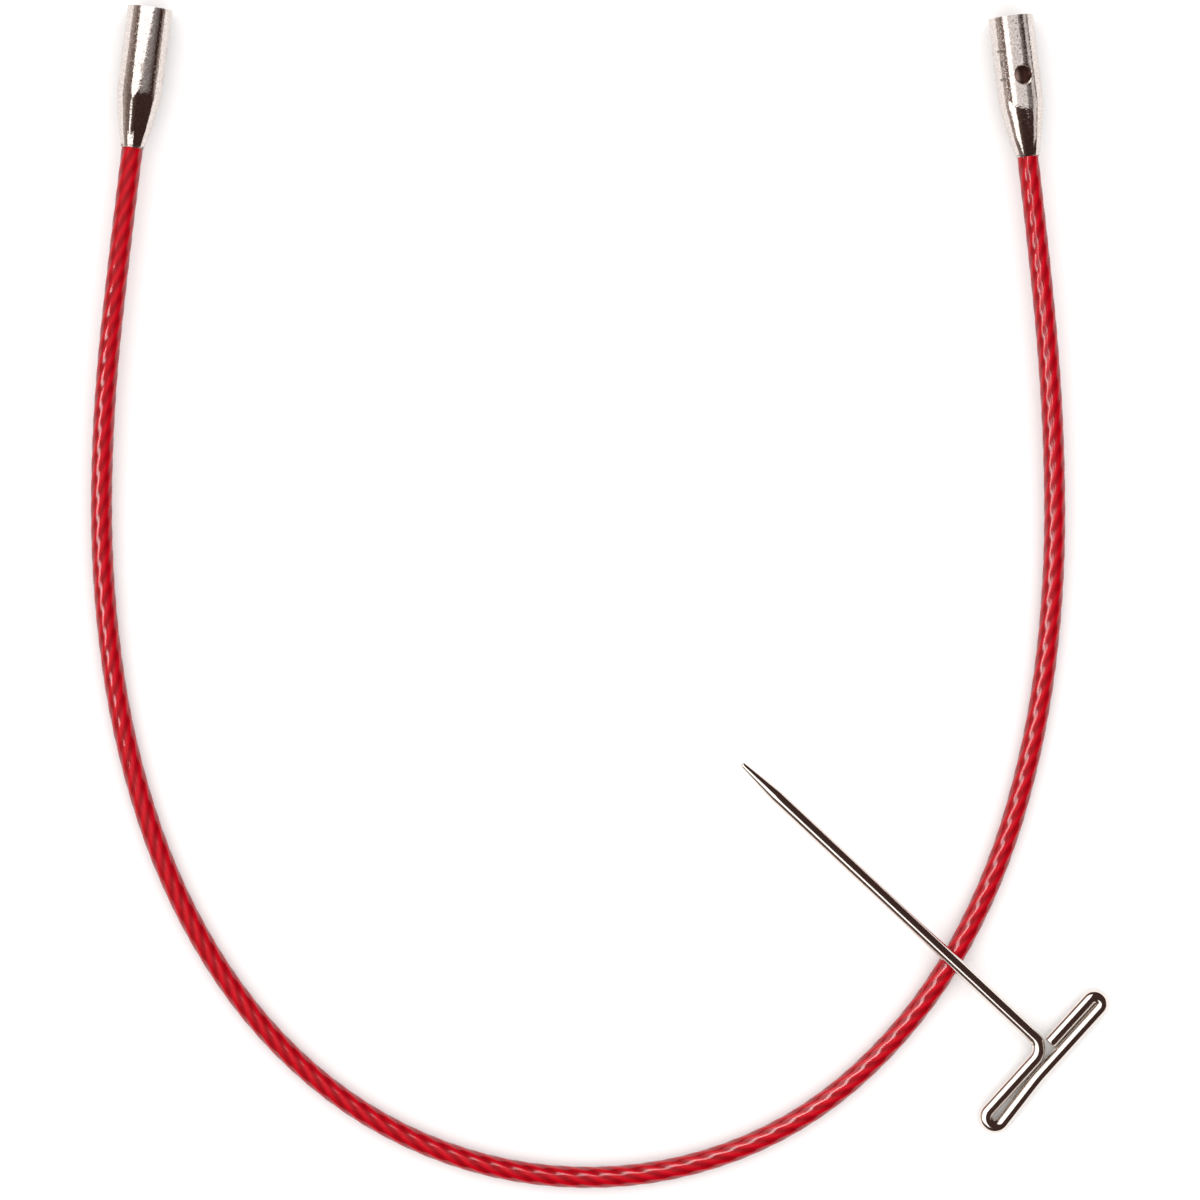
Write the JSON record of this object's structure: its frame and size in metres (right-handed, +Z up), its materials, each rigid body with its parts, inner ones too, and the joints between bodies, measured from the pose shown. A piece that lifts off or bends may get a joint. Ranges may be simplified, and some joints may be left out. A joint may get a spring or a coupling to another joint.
{
  "type": "interchangeable circular knitting needle cord with tightening key",
  "caption": "Flexible nylon-covered steel cord with a threaded metal connector at each end, for screw-on knitting needle tips, with a bent-wire T key that tightens them.",
  "frame": {"origin": "on the table, under the middle of the two sleeves and the key taken together", "axes": "+Z up from the table, +Y towards the sleeves' open mouths, +X towards the sleeve whose key hole faces up"},
  "size_m": [0.0735, 0.0854, 0.0055],
  "materials": {
    "connector_nickel": "nickel plate on turned brass, polished, with a fine orange-peel",
    "adhesive": "cured clear adhesive",
    "red_nylon": "glossy translucent red nylon, pulled over the strands",
    "steel_rope": "twisted bright steel strands",
    "key_nickel": "bright nickel plate on drawn steel wire"
  },
  "bodies": {
    "cord_set": {"connector_sleeve_a": "connector_nickel", "connector_sleeve_b": "connector_nickel", "adhesive_bond_a": "adhesive", "adhesive_bond_b": "adhesive", "cord_jacket": "red_nylon", "cord_core": "steel_rope"},
    "key": {"tightening_key": "key_nickel"}
  },
  "joints": [
    {"name": "key_lift", "type": "slide", "parent": "cord_set", "child": "key", "axis": [0, 0, 1], "range_m": [0, 0.03]}
  ]
}
